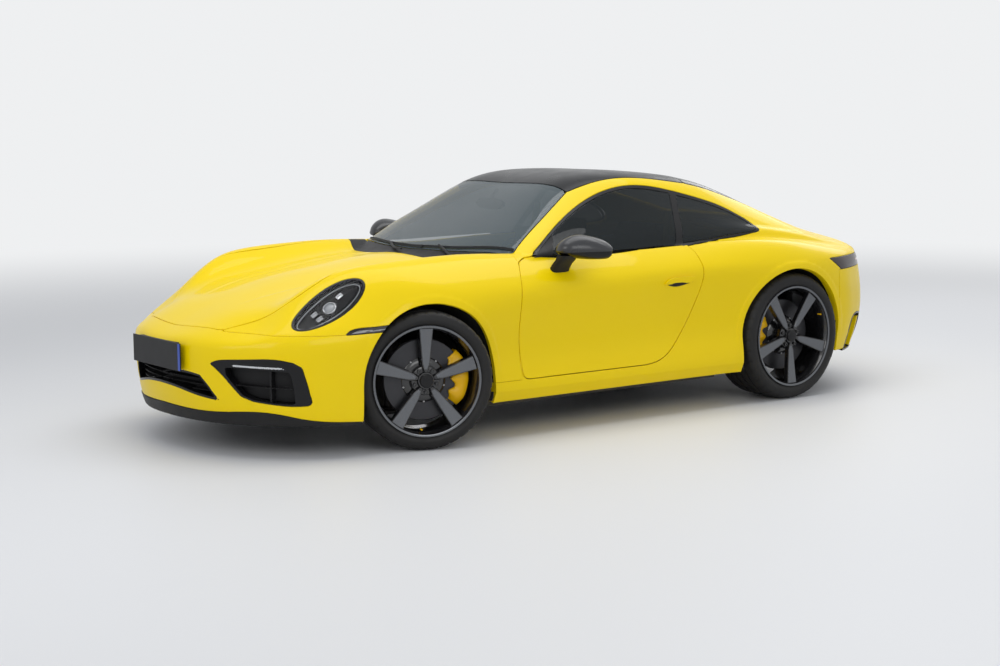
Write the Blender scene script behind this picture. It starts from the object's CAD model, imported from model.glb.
"""Looks of a yellow two-door coupe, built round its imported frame. Metres, +X forward, +Z up."""
import math

import bmesh
import bpy
import numpy as np
from mathutils import Matrix, Vector


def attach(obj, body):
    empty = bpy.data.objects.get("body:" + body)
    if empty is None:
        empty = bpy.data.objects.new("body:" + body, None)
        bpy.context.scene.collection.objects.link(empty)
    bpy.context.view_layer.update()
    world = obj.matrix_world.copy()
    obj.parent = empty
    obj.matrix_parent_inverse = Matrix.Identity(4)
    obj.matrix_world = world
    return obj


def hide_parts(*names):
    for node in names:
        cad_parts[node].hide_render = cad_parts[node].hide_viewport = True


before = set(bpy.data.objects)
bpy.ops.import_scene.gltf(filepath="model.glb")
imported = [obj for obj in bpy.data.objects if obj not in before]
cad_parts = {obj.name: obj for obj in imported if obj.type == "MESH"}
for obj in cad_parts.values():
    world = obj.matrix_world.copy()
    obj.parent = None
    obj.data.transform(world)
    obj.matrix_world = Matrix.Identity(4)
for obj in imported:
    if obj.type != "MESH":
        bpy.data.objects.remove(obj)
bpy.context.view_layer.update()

scene = bpy.context.scene
SHELL = "body_shell"
scene.view_settings.view_transform = "Standard"

# ------------------------------------------------------------------ camera
# Standing to the car's front left at eye height, with a short telephoto lens.
CAMERA_AT = Vector((5.988, 7.887, 1.637))
CAMERA_YAW, CAMERA_PITCH, CAMERA_ROLL = (math.radians(a) for a in (-126.382, -7.205, -0.42))
CAMERA_LENS = 63.6

camera = bpy.data.objects.new("camera", bpy.data.cameras.new("camera"))
scene.collection.objects.link(camera)
scene.camera = camera
camera.data.lens = CAMERA_LENS
camera.data.sensor_width = 36.0
look = Vector((math.cos(CAMERA_YAW) * math.cos(CAMERA_PITCH), math.sin(CAMERA_YAW) * math.cos(CAMERA_PITCH),
        math.sin(CAMERA_PITCH)))
aside = look.cross(Vector((0, 0, 1))).normalized()
upright = aside.cross(look)
turn = Matrix.Rotation(-CAMERA_ROLL, 3, look)
aside, upright = turn @ aside, turn @ upright
camera.matrix_world = Matrix.Translation(CAMERA_AT) @ Matrix((aside, upright, -look)).transposed().to_4x4()

# ------------------------------------------------------------------ studio
# A plain pale floor that keeps the shadow, a white surround and soft lamps overhead.
WHITE = (0.86, 0.87, 0.88, 1)
FLOOR_HALF = 400.0
SHADOW_REACH, FADED_AT = 3.6, 13.0    # between them the floor turns into the surround


def seen_directly(tree):
    """1 for what the camera, mirrors and glass see, 0 for what lights the car."""
    nodes, links = tree.nodes, tree.links
    path = nodes.new("ShaderNodeLightPath")
    seen = path.outputs["Is Camera Ray"]
    for ray in ("Is Glossy Ray", "Is Transmission Ray"):
        either = nodes.new("ShaderNodeMath")
        either.operation = "MAXIMUM"
        links.new(seen, either.inputs[0])
        links.new(path.outputs[ray], either.inputs[1])
        seen = either.outputs[0]
    return seen


world = bpy.data.worlds.new("surround")
scene.world = world
world.use_nodes = True
sky = world.node_tree
sky.nodes.clear()
sky_out = sky.nodes.new("ShaderNodeOutputWorld")
fill = sky.nodes.new("ShaderNodeBackground")
fill.inputs["Color"].default_value = (0.9, 0.93, 1.0, 1)
fill.inputs["Strength"].default_value = 0.5
white = sky.nodes.new("ShaderNodeBackground")
white.inputs["Color"].default_value = WHITE
white.inputs["Strength"].default_value = 1.0
sky_mix = sky.nodes.new("ShaderNodeMixShader")
sky.links.new(seen_directly(sky), sky_mix.inputs[0])
sky.links.new(fill.outputs[0], sky_mix.inputs[1])
sky.links.new(white.outputs[0], sky_mix.inputs[2])
sky.links.new(sky_mix.outputs[0], sky_out.inputs[0])

floor_mesh = bpy.data.meshes.new("floor")
floor_mesh.from_pydata([(x * FLOOR_HALF, y * FLOOR_HALF, 0) for x, y in ((-1, -1), (1, -1), (1, 1), (-1, 1))],
    [], [(0, 1, 2, 3)])
floor = bpy.data.objects.new("floor", floor_mesh)
scene.collection.objects.link(floor)
floor_finish = bpy.data.materials.new("floor")
floor_finish.use_nodes = True
tiles = floor_finish.node_tree
matt = tiles.nodes["Principled BSDF"]
matt.inputs["Base Color"].default_value = (0.74, 0.745, 0.75, 1)
matt.inputs["Roughness"].default_value = 0.55
# Beyond the shadow the floor fades into the same white as the surround.
distance = tiles.nodes.new("ShaderNodeVectorMath")
distance.operation = "LENGTH"
tiles.links.new(tiles.nodes.new("ShaderNodeTexCoord").outputs["Object"], distance.inputs[0])
faded = tiles.nodes.new("ShaderNodeMapRange")
faded.interpolation_type = "SMOOTHSTEP"
faded.inputs["From Min"].default_value, faded.inputs["From Max"].default_value = SHADOW_REACH, FADED_AT
tiles.links.new(distance.outputs["Value"], faded.inputs["Value"])
shown = tiles.nodes.new("ShaderNodeMath")
shown.operation = "MULTIPLY"
tiles.links.new(faded.outputs["Result"], shown.inputs[0])
tiles.links.new(seen_directly(tiles), shown.inputs[1])
glow = tiles.nodes.new("ShaderNodeEmission")
glow.inputs["Color"].default_value = WHITE
floor_mix = tiles.nodes.new("ShaderNodeMixShader")
tiles.links.new(shown.outputs[0], floor_mix.inputs[0])
tiles.links.new(matt.outputs[0], floor_mix.inputs[1])
tiles.links.new(glow.outputs[0], floor_mix.inputs[2])
tiles.links.new(floor_mix.outputs[0], tiles.nodes["Material Output"].inputs["Surface"])
floor_mesh.materials.append(floor_finish)


def soft_lamp(name, at, towards, size, power):
    data = bpy.data.lights.new(name, "AREA")
    data.shape = "RECTANGLE"
    data.size, data.size_y = size
    data.energy = power
    lamp = bpy.data.objects.new(name, data)
    scene.collection.objects.link(lamp)
    lamp.location = at
    lamp.rotation_euler = (Vector(towards) - Vector(at)).to_track_quat("-Z", "Y").to_euler()


soft_lamp("overhead", (0.0, 0.5, 5.2), (0, 0, 0.5), (7.5, 3.2), 165)
soft_lamp("side_left", (2.2, 6.5, 3.4), (0.2, 0, 0.5), (5.0, 2.2), 76)
soft_lamp("front", (6.5, 1.5, 3.0), (1.5, 0, 0.4), (3.0, 2.2), 46)
soft_lamp("behind", (-6.5, -2.0, 3.6), (-1.0, 0, 0.5), (4.0, 2.4), 55)

# ------------------------------------------------------------------ body skin form
# One smooth skin from which every painted panel and pane is cut: cross-sections of the
# lower body and of the greenhouse, blended together, and rounded off at nose and tail.
# Columns in mm: x; crown z; valley y z; crest y z; widest y z; tuck y z; skirt y z; bottom z.
BODY = np.array((
    (2350, 520, 320, 512, 560, 480, 790, 420, 820, 300, 838, 200, 150),
    (2120, 622, 380, 603, 565, 560, 830, 450, 845, 300, 858, 200, 150),
    (1980, 683, 425, 655, 575, 612, 858, 500, 862, 320, 872, 210, 152),
    (1850, 733, 465, 715, 600, 722, 872, 530, 873, 340, 880, 220, 155),
    (1724, 770, 495, 768, 612, 814, 884, 560, 880, 360, 886, 230, 158),
    (1530, 816, 520, 810, 655, 882, 896, 590, 888, 380, 890, 240, 162),
    (1238, 856, 545, 848, 695, 908, 915, 600, 900, 400, 895, 250, 168),
    (900, 886, 575, 872, 712, 914, 902, 620, 884, 400, 898, 255, 176),
    (600, 872, 600, 866, 728, 902, 880, 640, 864, 400, 900, 255, 180),
    (0, 866, 600, 860, 740, 898, 877, 670, 862, 400, 900, 255, 180),
    (-550, 866, 600, 860, 752, 902, 879, 690, 866, 410, 903, 255, 180),
    (-900, 872, 600, 868, 792, 903, 906, 680, 892, 420, 908, 255, 186),
    (-1211, 886, 600, 880, 826, 882, 926, 650, 915, 430, 905, 250, 200),
    (-1530, 872, 560, 865, 818, 838, 917, 640, 906, 430, 888, 250, 215),
    (-1850, 820, 480, 815, 745, 800, 866, 620, 858, 430, 842, 260, 225),
    (-2350, 750, 350, 745, 590, 735, 790, 600, 785, 430, 770, 260, 230)), float) / 1000
# Columns in mm: x; crown z; roof edge y z; glass top y z; belt y z.
HOUSE = np.array((
    (830, 872, 300, 866, 480, 852, 560, 838),
    (600, 1000, 600, 940, 708, 893, 748, 872),
    (350, 1134, 540, 1088, 645, 1030, 762, 882),
    (90, 1256, 478, 1222, 566, 1158, 758, 886),
    (-200, 1300, 500, 1266, 562, 1206, 750, 892),
    (-600, 1280, 500, 1240, 570, 1170, 742, 898),
    (-870, 1232, 505, 1190, 592, 1102, 732, 908),
    (-1125, 1152, 510, 1108, 622, 1018, 720, 920),
    (-1440, 1034, 500, 1004, 620, 956, 712, 890),
    (-1700, 952, 455, 926, 600, 884, 690, 838),
    (-2000, 880, 400, 858, 570, 822, 640, 784),
    (-2350, 802, 330, 782, 510, 758, 580, 730)), float) / 1000
# How far nose and tail lie behind their foremost point: by distance off the middle (y, x), by height (z, x).
NOSE_PLAN = np.array(((0, 0), (230, 20), (430, 84), (602, 200), (750, 362), (842, 560), (893, 760),
        (960, 1250))) / 1000
NOSE_LEVELS = np.array(((60, 110), (170, 46), (300, 14), (430, 1), (500, 0), (570, 22), (620, 80), (690, 190),
        (800, 330), (1000, 560), (1400, 900))) / 1000
TAIL_PLAN = np.array(((0, 0), (250, 25), (480, 109), (635, 209), (766, 359), (850, 509), (922, 720),
        (985, 1150))) / 1000
TAIL_LEVELS = np.array(((60, 170), (220, 92), (400, 12), (520, 0), (640, 12), (760, 40), (830, 66),
        (900, 130), (1000, 260), (1400, 700))) / 1000
NOSE_X, TAIL_X, SPINE_Z = 2.2595, -2.2595, 0.1
REACH = math.radians(93)      # how far round from straight up the skin goes
HUB_FRONT, HUB_REAR = (1.2385, 0.34), (-1.2115, 0.358)
ARCH_FRONT_R, ARCH_REAR_R = 0.374, 0.384
LIP_WIDE, LIP_SLOPE, LIP_RISE = 0.034, 0.008, 0.005
SILL_CREASE_Z, SILL_TURN = 0.242, 0.45
BONNET_CREASE_X, BONNET_CREASE_Y, BONNET_SINK = (0.8, 1.2, 1.6, 1.95), (0.46, 0.4, 0.32, 0.22), 0.004
HOUSE_FRONT_X = 0.86          # ahead of it there is no greenhouse
# How broadly the greenhouse flows into the body, along the car.
BLEND_X, BLEND_WIDE = (-2.2, -1.5, -1.15, -0.8, 0.5, 0.9), (0.05, 0.09, 0.07, 0.014, 0.012, 0.02)
END_ROUND = 0.045             # how broadly flanks flow into nose and tail
NORMAL_STEP = 0.004


def spline_matrix(knots, at):
    """Weights that turn values at knots into a smooth curve's values at other places."""
    n = len(knots)
    h = np.diff(knots)
    a, b = np.zeros((n, n)), np.zeros((n, n))
    a[0, 0] = a[-1, -1] = 1
    for i in range(1, n - 1):
        a[i, i - 1:i + 2] = h[i - 1] / 6, (h[i - 1] + h[i]) / 3, h[i] / 6
        b[i, i - 1:i + 2] = 1 / h[i - 1], -1 / h[i - 1] - 1 / h[i], 1 / h[i]
    bend = np.linalg.solve(a, b)
    k = np.clip(np.searchsorted(knots, at, side="right") - 1, 0, n - 2)
    s, w = at - knots[k], h[k]
    eye = np.eye(n)
    low, high = (w - s)[:, None], s[:, None]
    w = w[:, None]
    return (low * eye[k] + high * eye[k + 1]) / w + ((low ** 3 / w - low * w) * bend[k]
        + (high ** 3 / w - high * w) * bend[k + 1]) / 6


def spline(table, at):
    order = np.argsort(table[:, 0])
    return spline_matrix(table[order, 0], np.asarray(at, float)) @ table[order, 1:]


STATION = np.arange(-2.34, 2.3401, 0.02)
ROUND = np.radians(np.arange(-100, 100.01, 0.5))


def polar_table(rows, corners, knots):
    """Radius about the spine for every station and angle from straight up."""
    half_y, half_z = corners(rows)
    y = np.concatenate((-half_y[::-1], half_y[1:]))
    z = np.concatenate((half_z[::-1], half_z[1:]))
    t = np.concatenate((-np.array(knots)[::-1], np.array(knots)[1:]))
    fine = np.linspace(t[0], t[-1], 1400)
    weights = spline_matrix(t, fine)
    y, z = weights @ y, weights @ z - SPINE_Z
    angle, radius = np.arctan2(y, z), np.hypot(y, z)
    return np.array([np.interp(ROUND, angle[:, i], radius[:, i]) for i in range(len(STATION))])


def body_corners(rows):
    c = spline(rows, STATION).T
    crown, vy, vz, ky, kz, wy, wz, ty, tz, sy, sz, foot = c
    my, mz = (ky + wy) / 2 + (kz - wz) * 0.17, (kz + wz) / 2 + (wy - ky) * 0.17
    y = np.array([0 * crown, vy, ky, my, wy, ty, sy, sy - 0.01])
    z = np.array([crown, vz, kz, mz, wz, tz, sz, foot - 0.02])
    return y, z


def house_corners(rows):
    c = spline(rows, np.minimum(STATION, HOUSE_FRONT_X)).T
    crown, ry, rz, gy, gz, by, bz = c
    my, mz = (gy + by) / 2 + (gz - bz) * 0.03, (gz + bz) / 2 + (by - gy) * 0.03
    y = np.array([0 * crown, ry, gy, my, by, by - 0.01, by - 0.05])
    z = np.array([crown, rz, gz, mz, bz, bz - 0.1, 0 * bz + 0.25])
    return y, z


body_radius = polar_table(BODY, body_corners, (0, 0.5, 0.72, 0.88, 1.1, 1.35, 1.52, 1.6))
house_radius = polar_table(HOUSE, house_corners, (0, 0.5, 0.66, 0.86, 1.05, 1.18, 1.9))


def lookup(table, x, angle):
    """Smooth reading of a polar table between its stations and angles."""
    u = np.clip((x - STATION[0]) / (STATION[1] - STATION[0]), 1.001, len(STATION) - 2.001)
    v = np.clip((angle - ROUND[0]) / (ROUND[1] - ROUND[0]), 1.001, len(ROUND) - 2.001)
    i, j = u.astype(int), v.astype(int)
    s, t = u - i, v - j

    def weights(f):
        return (0.5 * (-f + 2 * f ** 2 - f ** 3), 0.5 * (2 - 5 * f ** 2 + 3 * f ** 3),
            0.5 * (f + 4 * f ** 2 - 3 * f ** 3), 0.5 * (f ** 3 - f ** 2))
    total = 0
    for a, wa in enumerate(weights(s)):
        for b, wb in enumerate(weights(t)):
            total = total + wa * wb * table[i + a - 1, j + b - 1]
    return total


def soft_max(a, b, k):
    gap = np.clip(0.5 + 0.5 * (a - b) / k, 0, 1)
    return b + (a - b) * gap + k * gap * (1 - gap)


def soft_min(a, b, k):
    return -soft_max(-a, -b, k)


class Curve:
    """A smooth function of one number, read from a fine table."""
    def __init__(self, table, even):
        rows = np.concatenate((table[:0:-1] * (-1, 1), table)) if even else table
        self.low, self.high = rows[0, 0], rows[-1, 0]
        self.at = np.linspace(self.low, self.high, 1500)
        self.value = spline(rows, self.at)[:, 0]
        self.slope = np.gradient(self.value, self.at)

    def __call__(self, q):
        q = np.clip(q, self.low, self.high)
        return np.interp(q, self.at, self.value), np.interp(q, self.at, self.slope)


nose_plan, nose_level = Curve(NOSE_PLAN, True), Curve(NOSE_LEVELS, False)
tail_plan, tail_level = Curve(TAIL_PLAN, True), Curve(TAIL_LEVELS, False)


def end_depth(x, y, z, end_x, plan, level, way):
    """Rough distance inside the nose or tail surface."""
    p, dp = plan(y)
    q, dq = level(z)
    return (way * (end_x - x) - p - q) / np.sqrt(1 + dp ** 2 + dq ** 2)


def rise(q, run):
    """0 to 1, smoothly, as q goes from nothing to run."""
    q = np.clip(q / run, 0, 1)
    return q * q * (3 - 2 * q)


def pressed_relief(x, y, z):
    """Small pressed forms: raised arch lips, sills turned in below their crease, and bonnet creases."""
    lips = 0
    for (hub_x, hub_z), radius in ((HUB_FRONT, ARCH_FRONT_R), (HUB_REAR, ARCH_REAR_R)):
        from_hub = np.hypot(x - hub_x, z - hub_z)
        lips = lips + LIP_RISE * rise(radius + LIP_WIDE + LIP_SLOPE - from_hub,
            LIP_SLOPE) * rise(z - 0.3, 0.12)
    flank = rise(np.abs(y) - 0.6, 0.1)
    sill = SILL_TURN * np.maximum(SILL_CREASE_Z - z, 0) * rise(x + 0.95, 0.2) * rise(1.0 - x, 0.2)
    crease = np.interp(x, BONNET_CREASE_X, BONNET_CREASE_Y)
    sunk = BONNET_SINK * rise(crease - np.abs(y), 0.03) * rise(x - 0.8, 0.2) * rise(1.98 - x,
        0.25) * rise(z - 0.6, 0.05)
    return flank * (lips - sill) - sunk


def skin_depth(x, y, z):
    """Positive inside the car's skin, zero on it."""
    angle, r = np.arctan2(y, z - SPINE_Z), np.hypot(y, z - SPINE_Z)
    body = lookup(body_radius, x, angle)
    both = soft_max(body, lookup(house_radius, x, angle), np.interp(x, BLEND_X, BLEND_WIDE))
    side = np.where(x > HOUSE_FRONT_X, body - r, both - r) + pressed_relief(x, y, z)
    front = end_depth(x, y, z, NOSE_X, nose_plan, nose_level, 1)
    back = end_depth(x, y, z, TAIL_X, tail_plan, tail_level, -1)
    return soft_min(soft_min(side, front, END_ROUND), back, END_ROUND)


def skin_normal(co):
    grad = np.empty_like(co)
    for axis in range(3):
        off = np.zeros(3)
        off[axis] = NORMAL_STEP
        grad[:, axis] = skin_depth(*(co - off).T) - skin_depth(*(co + off).T)
    return grad / np.linalg.norm(grad, axis=1)[:, None]


def reach_skin(start, way, near, far, steps):
    """How far each start point is from the skin, along its way out."""
    near, far = np.full(len(start), near), np.full(len(start), far)
    for _ in range(steps):
        middle = (near + far) / 2
        inside = skin_depth(*(start + way * middle[:, None]).T) > 0
        near, far = np.where(inside, middle, near), np.where(inside, far, middle)
    return near


# The grid: rays from a spine, level with it along the car and fanned out round both ends.
ROWS_END, ROWS_MID, COLUMNS = 76, 216, 209
SPINE_FRONT, SPINE_REAR = 1.5, -1.55
fan = np.radians(np.linspace(90, 0, ROWS_END + 1))[:-1]
row_x = np.concatenate((np.full(ROWS_END, SPINE_FRONT), np.linspace(SPINE_FRONT, SPINE_REAR, ROWS_MID),
        np.full(ROWS_END, SPINE_REAR)))
row_tilt = np.concatenate((fan, np.zeros(ROWS_MID), -fan[::-1]))
around = np.linspace(-REACH, REACH, COLUMNS)
tilt, angle = np.meshgrid(row_tilt, around, indexing="ij")
ray = np.stack((np.sin(tilt), np.cos(tilt) * np.sin(angle), np.cos(tilt) * np.cos(angle)), -1).reshape(-1, 3)
start = np.zeros_like(ray)
start[:, 0] = np.repeat(row_x, COLUMNS)
start[:, 2] = SPINE_Z
skin_co = start + ray * reach_skin(start, ray, 0.05, 1.5, 26)[:, None]
rows = len(row_x)
cell = (np.arange(rows - 1)[:, None] * COLUMNS + np.arange(COLUMNS - 1)).ravel()
skin_tris = np.concatenate((np.stack((cell, cell + 1, cell + COLUMNS), 1),
        np.stack((cell + 1, cell + COLUMNS + 1, cell + COLUMNS), 1)))
_, first, same = np.unique(np.round(skin_co, 6), axis=0, return_index=True, return_inverse=True)
skin_co, skin_tris = skin_co[first], same.reshape(-1)[skin_tris]
skin_tris = skin_tris[(skin_tris[:, 0] != skin_tris[:, 1]) & (skin_tris[:, 1] != skin_tris[:,
            2]) & (skin_tris[:, 2] != skin_tris[:, 0])]


# ------------------------------------------------------------------ body panels
# Pressed panels are cut from the skin along their shut lines. Each is closed, with a
# rolled outer edge, a rim and an inner face.
SNAP = 4e-4              # a corner this near a cut counts as inside it
REGION_MARGIN = 0.03     # skin further outside a panel is dropped before it is cut
ROLL_DROP = 0.8          # how far a rolled edge falls, as a share of its width


def cut(co, tris, value, keep_all=False):
    """Split a mesh along value = 0 and keep its positive part, or both parts."""
    value = np.where(np.abs(value) < SNAP, SNAP, value)
    inside = value[tris] > 0
    count = inside.sum(1)
    turn = np.arange(3)
    lone = tris[count == 1]
    lone = np.take_along_axis(lone, (inside[count == 1].argmax(1)[:, None] + turn) % 3, 1)
    pair = tris[count == 2]
    pair = np.take_along_axis(pair, ((~inside[count == 2]).argmax(1)[:, None] + turn) % 3, 1)
    edges = np.concatenate((lone[:, (0, 1)], lone[:, (0, 2)], pair[:, (0, 1)], pair[:, (0, 2)]))
    edges, place = np.unique(np.sort(edges, 1), axis=0, return_inverse=True)
    place = place.reshape(-1) + len(co)
    v0, v1 = value[edges[:, 0]], value[edges[:, 1]]
    share = (v0 / (v0 - v1))[:, None]
    new = co[edges[:, 0]] * (1 - share) + co[edges[:, 1]] * share
    n, m = len(lone), len(pair)
    la, lb, pa, pb = place[:n], place[n:2 * n], place[2 * n:2 * n + m], place[2 * n + m:]
    out = [tris[count == 3], np.stack((lone[:, 0], la, lb), 1), np.stack((pa, pair[:, 1], pair[:, 2]), 1),
        np.stack((pa, pair[:, 2], pb), 1)]
    if keep_all:
        out += [tris[count == 0], np.stack((la, lone[:, 1], lone[:, 2]), 1),
            np.stack((la, lone[:, 2], lb), 1), np.stack((pair[:, 0], pa, pb), 1)]
    return np.concatenate((co, new)), np.concatenate(out)


def tidy_mesh(co, tris):
    used, tris = np.unique(tris, return_inverse=True)
    return co[used], tris.reshape(-1, 3)


def through(*points, step=6):
    """Points on a smooth curve through a few given ones."""
    p = np.array(points, float)
    t = np.concatenate(((0,), np.cumsum(np.hypot(*np.diff(p, axis=0).T))))
    fine = np.linspace(0, t[-1], step * (len(p) - 1) + 1)
    return [tuple(q) for q in spline_matrix(t, fine) @ p]


def drawn(*parts):
    """Outline in metres from parts in mm: a list holds corners, a tuple a smooth curve."""
    points = []
    for part in parts:
        metres = np.array(part, float) / 1000
        points += through(*metres) if isinstance(part, tuple) else metres.tolist()
    return points


def within(outline, u, v):
    """Distance inside a closed outline, negative outside it."""
    p = np.array(outline, float)
    q = np.roll(p, -1, axis=0)
    best = np.full(len(u), 9.0)
    odd = np.zeros(len(u), bool)
    for (x0, y0), (x1, y1) in zip(p, q):
        dx, dy = x1 - x0, y1 - y0
        along = np.clip(((u - x0) * dx + (v - y0) * dy) / (dx * dx + dy * dy + 1e-12), 0, 1)
        best = np.minimum(best, (u - x0 - along * dx) ** 2 + (v - y0 - along * dy) ** 2)
        if y0 != y1:
            odd ^= ((y0 > v) != (y1 > v)) & (u < dx * (v - y0) / (y1 - y0) + x0)
    return np.sqrt(best) * np.where(odd, 1, -1)


def settle(piece, body, nodes, slot):
    """The piece on its body, with its colour slot, in place of its CAD nodes."""
    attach(piece, body)
    if nodes:
        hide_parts(*nodes)
    return piece


def mesh_piece(name, co, faces, material, body, nodes, slot, normals):
    """A closed mesh with its own face-corner normals and its finish."""
    mesh = bpy.data.meshes.new(name)
    mesh.from_pydata(np.asarray(co, float).tolist(), [], [list(map(int, f)) for f in faces])
    mesh.polygons.foreach_set("use_smooth", [True] * len(mesh.polygons))
    mesh.normals_split_custom_set(np.asarray(normals, float).tolist())
    mesh.materials.append(material)
    piece = bpy.data.objects.new(name, mesh)
    scene.collection.objects.link(piece)
    return settle(piece, body, nodes, slot)


def pressing(co, tris, depth, roll, sink=0.0):
    """Corners, faces and face-corner normals of a closed panel under a piece of skin."""
    co, tris = tidy_mesh(co, tris)
    normal = skin_normal(co)
    co = co + normal * (skin_depth(*co.T)[:, None] - sink)
    count = len(co)
    edges = np.concatenate((tris[:, (0, 1)], tris[:, (1, 2)], tris[:, (2, 0)]))
    key = np.sort(edges, 1)
    _, where, times = np.unique(key, axis=0, return_inverse=True, return_counts=True)
    rim = edges[times[where.reshape(-1)] == 1]
    way = np.cross(co[rim[:, 1]] - co[rim[:, 0]], normal[rim[:, 0]])
    side = np.zeros_like(co)
    np.add.at(side, rim[:, 0], way)
    np.add.at(side, rim[:, 1], way)
    edge = np.unique(rim)
    side[edge] /= np.linalg.norm(side[edge], axis=1)[:, None] + 1e-12
    outer_normal = normal.copy()
    outer_normal[edge] += side[edge]
    outer = co.copy()
    outer[edge] -= normal[edge] * roll * ROLL_DROP
    inner = co - normal * np.array(depth)
    back = tris[:, ::-1] + count
    wall = np.concatenate((np.stack((rim[:, 1], rim[:, 0], rim[:, 0] + count), 1),
            np.stack((rim[:, 1], rim[:, 0] + count, rim[:, 1] + count), 1)))
    faces = np.concatenate((tris, back, wall))
    side_all = np.concatenate((side, side))
    loops = np.concatenate((outer_normal[tris], -np.concatenate((normal, normal))[back], side_all[wall]))
    loops = loops.reshape(-1, 3)
    loops /= np.linalg.norm(loops, axis=1)[:, None] + 1e-12
    return np.concatenate((outer, inner)), faces, loops


def finer(co, tris):
    """Every triangle in four, with the new corners on the skin."""
    edges = np.sort(np.concatenate((tris[:, (0, 1)], tris[:, (1, 2)], tris[:, (2, 0)])), 1)
    edges, place = np.unique(edges, axis=0, return_inverse=True)
    ab, bc, ca = place.reshape(3, -1) + len(co)
    a, b, c = tris.T
    new = co[edges].mean(1)
    new = new + skin_normal(new) * skin_depth(*new.T)[:, None]
    return np.concatenate((co, new)), np.concatenate([np.stack(t, 1) for t in ((a, ab, ca), (ab, b, bc),
                (ca, bc, c), (ab, bc, ca))])


# The colour slot of each finish on the skin's panels. Blender numbers a name it knows, after a dot.
SLOTS = {"body_paint": "body_paint", "grained_plastic": "black_plastic", "windscreen_glass": "dark_glass",
    "roof_black": "black_paint", "tinted_glass": "dark_glass", "tail_lens": "red_lamp",
    "trim_black": "gloss_black", "tail_strip": "red_lamp", "light_bar": "lamp_glass",
    "marker_lens": "lamp_glass", "lamp_bowl": "gloss_black", "lamp_lens": "lamp_glass",
    "light_guide": "lamp_glass"}


def skin_panel(name, region, material, nodes=(), body=SHELL, depth=0.02, roll=0.0025, lines=(), sink=0.0,
        fine=0):
    """A panel cut from the skin by fields that are positive where it lies."""
    co, tris = skin_co, skin_tris
    for field in region:
        co, tris = tidy_mesh(co, tris[field(co)[tris].max(1) > -REGION_MARGIN])
    for _ in range(fine):
        co, tris = finer(co, tris)
    for field in region:
        co, tris = cut(co, tris, field(co))
        co, tris = tidy_mesh(co, tris)
    for field in lines:
        co, tris = cut(co, tris, field(co), keep_all=True)
    for field in region:
        co, tris = cut(co, tris, field(co) - roll, keep_all=True)
    co, faces, normals = pressing(co, tris, depth, roll, sink)
    return mesh_piece(name, co, faces, material, body, nodes, SLOTS[material.name.split(".")[0]], normals)


def plan(outline, gap=0.0, sign=1):
    """Field of an outline drawn in plan on the left half."""
    return lambda co: sign * within(outline, co[:, 0], np.abs(co[:, 1])) - gap


def profile(outline, gap=0.0, sign=1):
    """Field of an outline drawn from the side."""
    return lambda co: sign * within(outline, co[:, 0], co[:, 2]) - gap


def beyond(axis, value, sign=1):
    return lambda co: sign * (co[:, axis] - value)


def either(*fields):
    return lambda co: np.max([f(co) for f in fields], axis=0)


def all_of(*fields):
    return lambda co: np.min([f(co) for f in fields], axis=0)


def no(field, gap=0.0):
    return lambda co: -field(co) - gap


def central(half):
    """Field of what lies nearer the car's middle plane than half."""
    return lambda co: half - np.abs(co[:, 1])


def number_group(name, inputs, outputs):
    """An empty node group with named number sockets, its coordinates and its two ends."""
    tree = bpy.data.node_groups.new(name, "ShaderNodeTree")
    for label, value in inputs:
        tree.interface.new_socket(label, in_out="INPUT", socket_type="NodeSocketFloat").default_value = value
    for label in outputs:
        tree.interface.new_socket(label, in_out="OUTPUT", socket_type="NodeSocketFloat")
    place = tree.nodes.new("ShaderNodeTexCoord").outputs["Object"]
    return tree, place, tree.nodes.new("NodeGroupInput").outputs, tree.nodes.new("NodeGroupOutput").inputs


# Moulded or sprayed grain: a fine height, and a broad unevenness that touches gloss and colour.
grain_group, place, grain_in, grain_out = number_group("surface_grain", (("Grains", 900.0), ("Patches", 9.0)),
    ("Height", "Unevenness"))
for label, source, detail in (("Height", "Grains", 2.0), ("Unevenness", "Patches", 4.0)):
    noise = grain_group.nodes.new("ShaderNodeTexNoise")
    noise.inputs["Detail"].default_value = detail
    grain_group.links.new(place, noise.inputs["Vector"])
    grain_group.links.new(grain_in[source], noise.inputs["Scale"])
    grain_group.links.new(noise.outputs["Fac"], grain_out[label])

# Road dust: thickest near the ground, in soft patches.
dust_group, place, dust_in, dust_out = number_group("road_dust", (("Reach", 0.5), ("Amount", 0.3)), ("Mask",))
height = dust_group.nodes.new("ShaderNodeSeparateXYZ")
fade = dust_group.nodes.new("ShaderNodeMapRange")
fade.inputs["To Min"].default_value, fade.inputs["To Max"].default_value = 1.0, 0.0
patches = dust_group.nodes.new("ShaderNodeTexNoise")
patches.inputs["Scale"].default_value, patches.inputs["Detail"].default_value = 14.0, 6.0
dust_group.links.new(place, height.inputs[0])
dust_group.links.new(height.outputs["Z"], fade.inputs["Value"])
dust_group.links.new(dust_in["Reach"], fade.inputs["From Max"])
dust_group.links.new(place, patches.inputs["Vector"])
value = fade.outputs[0]
for other in (patches.outputs["Fac"], dust_in["Amount"]):
    times = dust_group.nodes.new("ShaderNodeMath")
    times.operation = "MULTIPLY"
    dust_group.links.new(value, times.inputs[0])
    dust_group.links.new(other, times.inputs[1])
    value = times.outputs[0]
dust_group.links.new(value, dust_out["Mask"])
DUST_COLOUR = (0.2, 0.185, 0.165, 1)


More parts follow.
